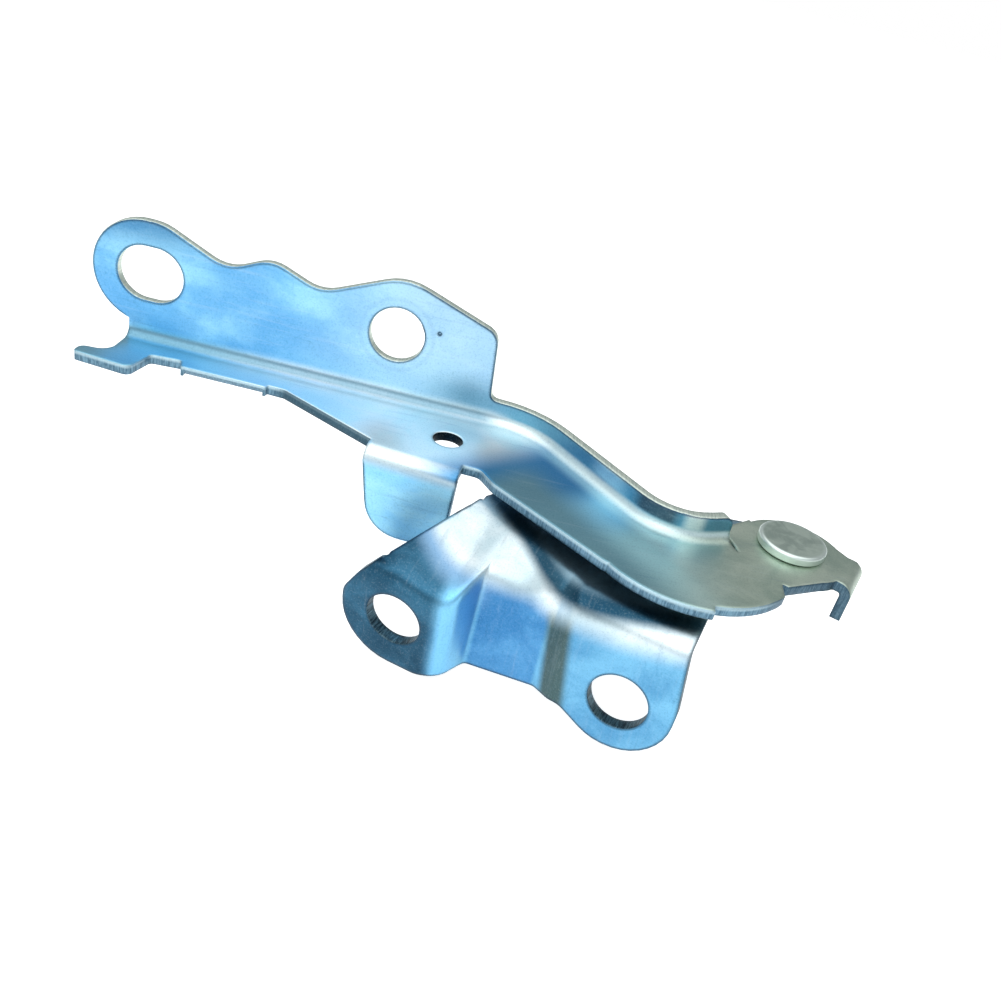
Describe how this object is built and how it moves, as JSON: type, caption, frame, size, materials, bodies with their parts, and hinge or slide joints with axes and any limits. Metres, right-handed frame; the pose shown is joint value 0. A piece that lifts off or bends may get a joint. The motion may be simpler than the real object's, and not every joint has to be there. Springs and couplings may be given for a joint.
{
  "type": "bonnet hinge",
  "caption": "Zinc-plated bonnet hinge: a folded bonnet arm with an S-shaped fold turns on a shouldered rivet in a stepped body bracket; bolts on through round holes and a slot.",
  "frame": {"origin": "centre of the right body bolt hole on the face that seats on the body", "axes": "+Z along the rivet towards its head, -Y out of the body seat, +X along the seats towards the rivet"},
  "size_m": [0.1855, 0.06, 0.0692],
  "materials": {
    "zinc_arm": "blue passivated zinc plate on pressed steel",
    "zinc_bracket": "blue passivated zinc plate on pressed steel",
    "zinc_rivet": "zinc plate on cold-headed steel",
    "bush_bronze": "plain bearing bronze"
  },
  "bodies": {
    "bracket": {"body_bracket": "zinc_bracket", "pivot_rivet": "zinc_rivet"},
    "arm": {"bonnet_arm": "zinc_arm", "pivot_bush": "bush_bronze"}
  },
  "joints": [
    {"name": "bonnet_swing", "type": "hinge", "parent": "bracket", "child": "arm", "pos_m": [0.0197, 0.0412, 0.0261], "axis": [0, 0, 1], "range_deg": [-80, 2]}
  ]
}
